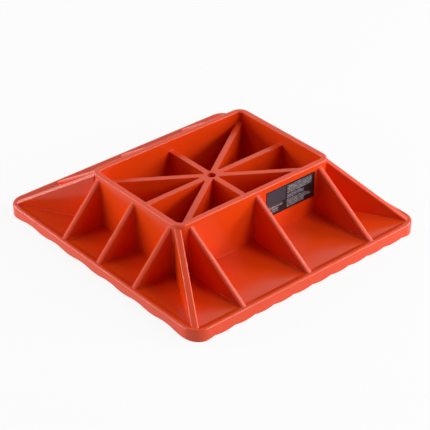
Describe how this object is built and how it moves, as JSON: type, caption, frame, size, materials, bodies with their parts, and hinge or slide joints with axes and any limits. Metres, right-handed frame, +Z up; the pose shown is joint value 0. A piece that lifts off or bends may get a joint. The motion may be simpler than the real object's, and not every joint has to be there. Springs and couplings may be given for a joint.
{
  "type": "jack base",
  "caption": "Square moulded plastic base that spreads the load of a tall jack on soft ground, with a ribbed box for the jack's foot and a waved tread underneath.",
  "frame": {"origin": "middle of the footprint at the level of the ground, under the centre hole", "axes": "+Z up out of the box for the jack's foot, X along the long side of the box, the label on the wall that faces -Y"},
  "size_m": [0.31, 0.31, 0.0713],
  "materials": {
    "orange_plastic": "satin orange-red moulded plastic",
    "label_film": "dark printed film with plain grey bars"
  },
  "bodies": {
    "root": {"jack_base": "orange_plastic", "side_label": "label_film"}
  },
  "joints": []
}
